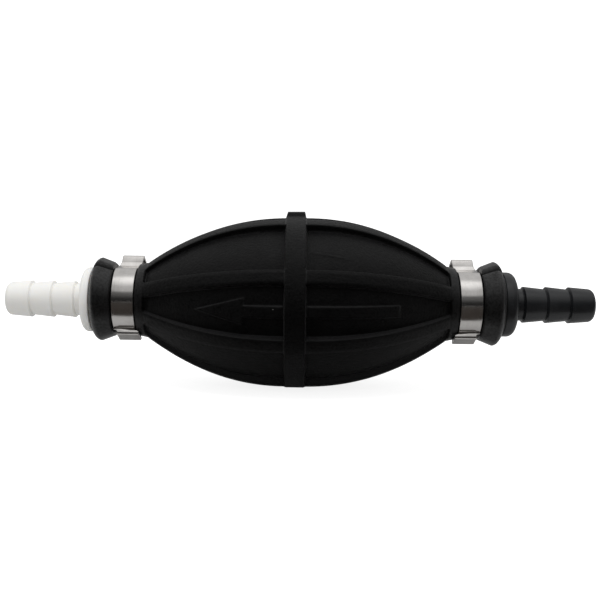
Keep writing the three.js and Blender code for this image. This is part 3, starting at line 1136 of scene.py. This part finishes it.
        turn = columns["turn"]
        places = np.column_stack([columns["along"], -np.cos(turn) * MM, np.sin(turn) * MM])
        piece = mesh_object(name, places, [], faces)
        for key, values in columns.items():
            attribute = piece.data.attributes.new(key, "FLOAT", "POINT")
            attribute.data.foreach_set("value", values.astype(np.float32))
        return piece

    @staticmethod
    def cut_faces(outer: list[float], inner: list[float], count: int, j: int, flip: bool) -> list:
        """Faces between the outside and the inside along one edge of a half.

        Args:
            outer: Places of the outside's rings.
            inner: Places of the inside's rings.
            count: Points in each ring.
            j: The point of each ring that lies on the edge.
            flip: Whether the faces turn the other way.

        Returns:
            Triangles.
        """
        faces = []
        i, k = 0, 0
        outer_next, inner_next = [*outer[1:], math.inf], [*inner[1:], math.inf]
        while i < len(outer) - 1 or k < len(inner) - 1:
            here, there = i * count + j, (len(outer) + k) * count + j
            if outer_next[i] <= inner_next[k]:
                face = (here, here + count, there)
                i += 1
            else:
                face = (here, there + count, there)
                k += 1
            faces.append(face[::-1] if flip else face)
        return faces

    def build(self, finish: Finish) -> list[bpy.types.Object]:
        """Builds and paints both halves, and hides the CAD walls that they replace.

        Args:
            finish: The rubber.

        Returns:
            The two pieces.
        """
        material = finish.paint()
        shape = self.tree()
        pieces = []
        for name, turned, body, toward in (
            ("bulb_front_half", 0.0, "front_wall", -1.0),
            ("bulb_back_half", 1.0, "back_wall", 1.0),
        ):
            piece = self.half(name, turned)
            shape.applied(piece, material)
            shaded(piece, 60.0)
            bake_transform(piece)
            pieces.append(piece)
        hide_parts("bulb_front_wall", "bulb_body")
        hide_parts("bulb_back_wall")
        return pieces


# ---- the ends ------------------------------------------------------------------------------------


@dataclass
class Fitting:
    """A barbed fitting: spigot with the valve's chamber, flange, three barbs and a bore."""

    end: End
    bore: float = 2.4 * MM
    chamber: float = 5.0 * MM
    chamber_length: float = 11.8 * MM
    spigot: float = 6.5 * MM
    flange_radius: float = 9.25 * MM
    flange_round: dict[End, float] = per_end(1.3 * MM, 2.0 * MM)
    flange_shown: dict[End, float] = per_end(2.1 * MM, 3.3 * MM)
    flange_hidden: dict[End, float] = per_end(0.5 * MM, 0.35 * MM)
    gap_to_rubber: float = 0.1 * MM
    barb_root: float = 4.6 * MM
    barb_crest: float = 5.22 * MM
    barb_steep: float = 0.3 * MM
    barb_groove: float = 0.3 * MM
    barb_start: float = 2.75 * MM
    lead_in: float = 6.95 * MM
    barbs: int = 3

    def outline(self, stop: float, inner: float, tip: float) -> list[Point]:
        """The closed outline, with x outwards from the fitting's inner face.

        Args:
            stop: Where the flange's outer face is.
            inner: The spigot's inner face.
            tip: The far end.

        Returns:
            Points as (x, radius).
        """
        back = stop - self.flange_shown[self.end] - self.flange_hidden[self.end]
        pitch = (tip - self.lead_in - stop - self.barb_start) / (self.barbs - 1)
        corners = [
            (inner, self.chamber, 0.1 * MM),
            (inner, self.spigot - 0.3 * MM, 0.15 * MM),
            (inner + 0.9 * MM, self.spigot, 0.3 * MM),
            (back, self.spigot, 0.15 * MM),
            (back, self.flange_radius, 0.3 * MM),
            (stop, self.flange_radius, self.flange_round[self.end]),
            (stop, self.barb_root, 0.8 * MM),
        ]
        for i in range(self.barbs):
            crest = stop + self.barb_start + i * pitch
            corners.append((crest - self.barb_steep - self.barb_groove, self.barb_root, 0.1 * MM))
            corners.append((crest - self.barb_steep, self.barb_root - self.barb_groove, 0.06 * MM))
            corners.append((crest, self.barb_crest, 0.07 * MM))
        corners += [
            (tip, self.barb_root + 0.05 * MM, 1.5 * MM),
            (tip, self.bore, 0.4 * MM),
            (inner + self.chamber_length, self.bore, 0.1 * MM),
            (inner + self.chamber_length, self.chamber, 0.2 * MM),
        ]
        return rounded(corners)

    def build(self, finish: Finish) -> bpy.types.Object:
        """Builds and dresses the fitting.

        Args:
            finish: Its plastic.

        Returns:
            The piece.
        """
        node = f"{self.end.label}_fitting"
        sign = self.end.value
        inner, tip = sorted(corner.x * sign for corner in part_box(node))
        rubber = max(corner.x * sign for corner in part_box("bulb_body"))
        stop = rubber + self.gap_to_rubber + self.flange_shown[self.end]
        points = [(x * sign, r) for x, r in self.outline(stop, inner, tip)]
        piece = revolved(f"{self.end.label}_barbed_fitting", points, 128)
        return dress(piece, finish, node, ROOT)


@dataclass(frozen=True)
class Ear:
    """One loop of a clamp.

    Its angle is in degrees from the front, and its head is pushed towards the bulb by the last size.
    """

    angle: float
    height: float
    root_half: float
    head_half: float
    stand: float
    pushed: float

    def to_pump(self, along: float, out: float) -> Point:
        """A point beside the ear's middle line and outwards on it, as (towards -Y, up)."""
        at = math.radians(self.angle)
        return out * math.cos(at) - along * math.sin(at), out * math.sin(at) + along * math.cos(at)

    def from_pump(self, toward: float, up: float) -> Point:
        """The other way: a point's distances beside the ear's middle line and outwards on it."""
        at = math.radians(self.angle)
        return up * math.cos(at) - toward * math.sin(at), toward * math.cos(at) + up * math.sin(at)


@dataclass
class Clamp:
    """A two-ear clamp bent from one strip with rounded edges."""

    end: End
    width: float = 6.25 * MM
    thickness: float = 0.62 * MM
    corner: float = 0.27 * MM
    inner_radius: float = 9.27 * MM
    lead: float = 0.7 * MM
    bend_angle: float = 71.0
    ears: tuple[Ear, ...] = (
        Ear(-60.0, 1.75 * MM, 1.1 * MM, 2.3 * MM, 0.45 * MM, 1.15 * MM),
        Ear(120.0, 3.5 * MM, 2.1 * MM, 1.9 * MM, 1.5 * MM, 0.65 * MM),
    )

    def path(self) -> list[Point]:
        """The strip's middle line, as (towards -Y, up) from the axis, with a flat below the top ear."""
        radius = self.inner_radius + self.thickness / 2
        bent = math.radians(self.bend_angle)
        points: list[Point] = []
        for ear, following, turns in zip(self.ears, self.ears[::-1], (0.0, 2.0 * math.pi)):
            root, head, top = ear.root_half, ear.head_half, radius + ear.height
            foot, lead = (math.sqrt(radius**2 - half**2) for half in (root, root + self.lead))
            side = [
                (root + self.lead, lead, 0.0),
                (root, foot, 0.3 * MM),
                (head, foot + ear.stand, 0.35 * MM),
                (head, top, 0.5 * MM),
            ]
            corners = [(-along, out, bend) for along, out, bend in side]
            corners += [(0.0, top - 0.1 * MM, 1.0 * MM), *side[::-1]]
            points += [ear.to_pump(along, out) for along, out in rounded(corners, 5, closed=False)]
            first = math.radians(ear.angle) + math.asin((root + self.lead) / radius)
            last = math.radians(following.angle) + turns
            last -= math.asin((following.root_half + self.lead) / radius)
            for angle in np.linspace(first, last, 60)[1:-1]:
                out = radius
                if not turns and angle > bent:
                    out = radius * math.cos((last - bent) / 2) / math.cos(angle - (bent + last) / 2)
                points.append((out * math.cos(angle), out * math.sin(angle)))
        return points

    def push_ears(self, piece: bpy.types.Object) -> None:
        """Pushes the ears' heads sideways, as the pincers left them.

        Args:
            piece: The clamp's object.
        """
        band = self.inner_radius + self.thickness
        for vertex in piece.data.vertices:
            for ear in self.ears:
                along, out = ear.from_pump(-vertex.co.y, vertex.co.z)
                if out > band and abs(along) < ear.head_half + 2.0 * self.thickness:
                    share = min((out - band) / ear.stand, 1.0)
                    vertex.co.x -= self.end.value * ear.pushed * share * share * (3.0 - 2.0 * share)

    def build(self, sweep: ShapeTree, finish: Finish) -> bpy.types.Object:
        """Builds and dresses the clamp.

        Args:
            sweep: The tree that runs the strip along its path.
            finish: Its steel.

        Returns:
            The piece.
        """
        node = f"{self.end.label}_clamp"
        low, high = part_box(node)
        points = [((low.x + high.x) / 2, -toward, up) for toward, up in self.path()]
        piece = path_object(f"{self.end.label}_ear_clamp", points, closed=True)
        sizes = {"Width": self.width, "Thickness": self.thickness, "Corner": self.corner}
        sweep.applied(piece, finish.paint(), **sizes)
        self.push_ears(piece)
        return dress(tidy_faces(piece, 50.0), finish, node, ROOT)


# ---- the check valves ----------------------------------------------------------------------------


@dataclass
class CheckValve:
    """The seat, poppet, seal, spring and cage inside one fitting. It passes flow towards -X."""

    end: End
    sweep: ShapeTree
    drills: ShapeTree
    acetal: Finish
    nitrile: Finish
    steel: Finish
    stem: float = 0.9 * MM
    guide: float = 1.0 * MM
    boss: float = 2.2 * MM
    seat_hole: float = 2.6 * MM
    disc_length: float = 1.2 * MM
    boss_length: float = 1.2 * MM
    clearance: float = 0.1 * MM
    wire: float = 0.22 * MM
    coil: float = 2.02 * MM
    turns: int = 4
    steps_each_turn: int = 40
    closed_share: float = 0.12
    closed_rise: float = 0.06

    def node(self, part: str) -> str:
        """The CAD name of one of the valve's parts."""
        return f"{self.end.label}_valve_{part}"

    def ring(self, part: str, hole: float, edge: float) -> bpy.types.Object:
        """A turned ring with rounded edges that fills its CAD node's box.

        Args:
            part: The part's name.
            hole: Radius of its hole.
            edge: Radius of its edges.

        Returns:
            The ring.
        """
        low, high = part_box(self.node(part))
        places = ((low.x, hole), (low.x, high.z), (high.x, high.z), (high.x, hole))
        corners = [(x, radius, edge) for x, radius in places]
        return revolved(f"{self.end.label}_{part}_ring", rounded(corners), 64)

    def poppet(self) -> bpy.types.Object:
        """The disc with its stem and its boss."""
        low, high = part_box(self.node("poppet"))
        seal_low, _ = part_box(self.node("seal"))
        face = seal_low.x - self.clearance
        back = face - self.disc_length
        corners = [
            (low.x, 0.0, 0.0),
            (low.x, self.stem, 0.25 * MM),
            (back, self.stem, 0.3 * MM),
            (back, high.z, 0.25 * MM),
            (face, high.z, 0.15 * MM),
            (face, self.boss, 0.1 * MM),
            (high.x - self.boss_length / 2, self.boss, 0.3 * MM),
            (high.x, self.boss / 2, 0.3 * MM),
            (high.x, 0.0, 0.0),
        ]
        return revolved(f"{self.end.label}_poppet_disc", rounded(corners), 64)

    def cage(self) -> bpy.types.Object:
        """The guide disc with its flow holes."""
        low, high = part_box(self.node("cage"))
        disc = self.ring("cage", self.guide, 0.15 * MM)
        sizes = {"Middle X": (low.x + high.x) / 2, "Circle Radius": (self.guide + high.z) / 2}
        self.drills.applied(disc, self.acetal.paint(), **sizes)
        return tidy_faces(disc)

    def spring(self) -> bpy.types.Object:
        """The coil between the cage and the disc, with closed ends."""
        low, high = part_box(self.node("spring"))
        first, last = low.x + self.wire, high.x - self.wire
        steps = self.steps_each_turn * self.turns
        points = []
        for step in range(steps + 1):
            share = step / steps
            eased = (share - self.closed_share) / (1.0 - 2.0 * self.closed_share)
            eased = min(max(eased, 0.0), 1.0)
            x = first + (last - first) * (self.closed_rise * share + (1.0 - self.closed_rise) * eased)
            angle = 2.0 * math.pi * self.turns * share
            points.append((x, self.coil * math.cos(angle), self.coil * math.sin(angle)))
        piece = path_object(f"{self.end.label}_closing_spring", points, closed=False)
        sizes = {"Width": 2.0 * self.wire, "Thickness": 2.0 * self.wire, "Corner": 0.98 * self.wire}
        self.sweep.applied(piece, self.steel.paint(), **sizes)
        tidy_faces(piece, 50.0)
        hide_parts(self.node("spring"))
        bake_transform(piece)
        return piece

    def build(self) -> list[bpy.types.Object]:
        """Builds and dresses the valve.

        Returns:
            The pieces.
        """
        moving = f"{self.end.label}_poppet"
        seat = dress(self.ring("seat", self.seat_hole, 0.25 * MM), self.acetal, self.node("seat"), ROOT)
        poppet = dress(self.poppet(), self.acetal, self.node("poppet"), moving)
        seal = self.ring("seal", self.boss + self.clearance, 0.2 * MM)
        dress(seal, self.nitrile, self.node("seal"), moving)
        cage = dress(self.cage(), self.acetal, self.node("cage"), ROOT)
        return [seat, poppet, seal, cage, self.spring()]


# ---- the studio ----------------------------------------------------------------------------------


@dataclass
class Studio:
    """The floor, the soft light and the camera."""

    lens: float = 51.0
    distance: float = 244.5 * MM
    elevation: float = 7.0
    roll: float = 0.74
    aim: Point = (-0.1 * MM, 0.55 * MM)
    floor_half: float = 6.0
    floor_glow: float = 0.85
    flag_edge: float = -27.0 * MM
    flag_half: float = 1.5
    light_place: tuple[float, float, float] = (-0.06, -0.1, 0.6)
    light_side: float = 0.35
    light_power: float = 1.8
    front_base: float = 0.015
    front_steps: tuple[tuple[float, float, float], ...] = (
        (0.15, 0.4, 0.095),
        (0.5, 0.58, 0.42),
        (0.75, 0.97, 0.65),
    )
    back_range: Point = (0.32, 0.62)
    scattered_strength: float = 0.66
    seen_strength: float = 1.15

    def camera(self) -> None:
        """Aims the camera at the pump from its arrow side."""
        data = bpy.data.cameras.new("camera")
        data.lens = self.lens
        data.clip_start = 0.01
        camera = placed(bpy.data.objects.new("camera", data))
        tilt = math.radians(self.elevation)
        back = Vector((0.0, -math.cos(tilt), math.sin(tilt)))
        up = Vector((0.0, math.sin(tilt), math.cos(tilt)))
        camera.location = Vector((self.aim[0], 0.0, 0.0)) + up * self.aim[1] + back * self.distance
        roll = Quaternion((0.0, 0.0, 1.0), math.radians(self.roll))
        camera.rotation_mode = "QUATERNION"
        camera.rotation_quaternion = (-back).to_track_quat("-Z", "Y") @ roll
        bpy.context.scene.camera = camera

    @staticmethod
    def sheet(name: str, material: str, x: Point, y: Point, z: float, **values: object) -> tuple:
        """Makes a level rectangle with one plain material.

        Args:
            name: The sheet's name.
            material: The material's name.
            x: Where it starts and ends along X.
            y: Where it starts and ends along Y.
            z: Its height.
            values: The shader's inputs, with _ for a space.

        Returns:
            The sheet and its surface.
        """
        rows = [(x[0], y[0], z), (x[1], y[0], z), (x[1], y[1], z), (x[0], y[1], z)]
        piece = mesh_object(name, rows, [], [(0, 1, 2, 3)])
        made = bpy.data.materials.new(material)
        made.use_nodes = True
        surface = Surface(made.node_tree, made.node_tree.nodes["Principled BSDF"])
        surface.put(**values)
        piece.data.materials.append(made)
        return piece, surface

    def floor(self) -> None:
        """A wide plain pale floor just under the pump."""
        low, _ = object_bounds()
        span = (-self.floor_half, self.floor_half)
        piece, surface = self.sheet(
            "studio_floor",
            "pale_floor",
            span,
            span,
            low.z,
            Base_Color=(0.55, 0.55, 0.55, 1.0),
            Roughness=0.8,
            Specular_IOR_Level=0.0,
            Emission_Color=(1.0, 1.0, 1.0, 1.0),
        )
        path = surface.tree.nodes.new("ShaderNodeLightPath")
        surface.put(Emission_Strength=Field(path.outputs["Is Camera Ray"]) * self.floor_glow)
        piece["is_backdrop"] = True

    def flag(self) -> None:
        """A dark cloth in front of the pump that only shows in polished surfaces."""
        low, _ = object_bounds()
        piece, _ = self.sheet(
            "dark_flag",
            "flag_cloth",
            (-self.flag_half, self.flag_half),
            (-self.flag_half, self.flag_edge),
            low.z + 0.4 * MM,
            Base_Color=(0.03, 0.024, 0.02, 1.0),
            Roughness=0.9,
        )
        piece.visible_camera = False
        piece.visible_diffuse = False
        piece.visible_shadow = False
        piece.visible_transmission = False
        piece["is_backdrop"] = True

    def softbox(self) -> None:
        """A wide light over the pump that doesn't show in polished surfaces."""
        data = bpy.data.lights.new("overhead_softbox", "AREA")
        data.size = self.light_side
        data.energy = self.light_power
        light = placed(bpy.data.objects.new("overhead_softbox", data))
        light.location = self.light_place
        light.visible_glossy = False
        light.rotation_mode = "QUATERNION"
        light.rotation_quaternion = (-Vector(self.light_place)).to_track_quat("-Z", "Y")

    def world(self) -> None:
        """A white room that is darker on the camera's side."""
        world = bpy.data.worlds.new("white_room")
        bpy.context.scene.world = world
        world.use_nodes = True
        tree = world.node_tree
        background = tree.nodes["Background"]
        where = tree.nodes.new("ShaderNodeTexCoord").outputs["Generated"]
        split = add_node(tree, "ShaderNodeSeparateXYZ", Vector=where)
        toward = -Field(split.outputs["Y"])
        up = Field(split.outputs["Z"])
        front = toward.rise(-0.1, 0.15)
        shades = [up.rise(low, high) * strength for low, high, strength in self.front_steps]
        shade = sum(shades[1:], shades[0]) + self.front_base
        back = up.rise(0.3, 0.7).spread(*self.back_range)
        path = tree.nodes.new("ShaderNodeLightPath").outputs
        room = back.mix(shade, front).mix(self.scattered_strength, Field(path["Is Diffuse Ray"]))
        feed(background.inputs["Strength"], room.mix(self.seen_strength, Field(path["Is Camera Ray"])))
        background.inputs["Color"].default_value = (1.0, 1.0, 1.0, 1.0)

    def build(self) -> None:
        """Sets up everything round the pump."""
        self.camera()
        self.world()
        self.floor()
        self.flag()
        self.softbox()
        bpy.context.scene.view_settings.view_transform = "Standard"


def main() -> None:
    """Builds every sub-assembly in order and reports it."""
    logging.basicConfig(level=logging.INFO, format="%(message)s")
    sweep, drills = sweep_tree(), drill_tree()
    rubber = MouldedRubber("moulded_rubber", "bulb_rubber", (0.0006, 0.0006, 0.0007), (0.34, 0.52))
    white = MouldedPlastic(
        "natural_nylon",
        "white_nylon",
        (0.88, 0.865, 0.83),
        (0.3, 0.46),
        tint=(0.91, 0.905, 0.88),
        pits=0.02,
        depth_of_light=0.003,
    )
    black = MouldedPlastic(
        "black_nylon",
        "black_nylon",
        (0.006, 0.0065, 0.0075),
        (0.26, 0.42),
        tint=(0.014, 0.015, 0.017),
        pits=0.06,
    )
    steel = RolledSteel("bright_strip", "clamp_steel", (0.72, 0.7, 0.68), (0.12, 0.24))
    wire = RolledSteel("spring_wire", "spring_steel", (0.6, 0.59, 0.57), (0.2, 0.34))
    acetal = MouldedPlastic("acetal", "valve_acetal", (0.7, 0.68, 0.6), (0.35, 0.5), (0.78, 0.76, 0.7))
    nitrile = MouldedRubber("nitrile", "seal_rubber", (0.014, 0.013, 0.013), (0.4, 0.55))
    pieces = Bulb().build(rubber)
    for end, plastic in ((End.OUTLET, white), (End.INLET, black)):
        pieces.append(Fitting(end).build(plastic))
        pieces.append(Clamp(end).build(sweep, steel))
        pieces += CheckValve(end, sweep, drills, acetal, nitrile, wire).build()
    for piece in pieces:
        log.info("%s: %d faces", piece.name, len(piece.data.polygons))
    Studio().build()


if __name__ == "__main__":
    main()
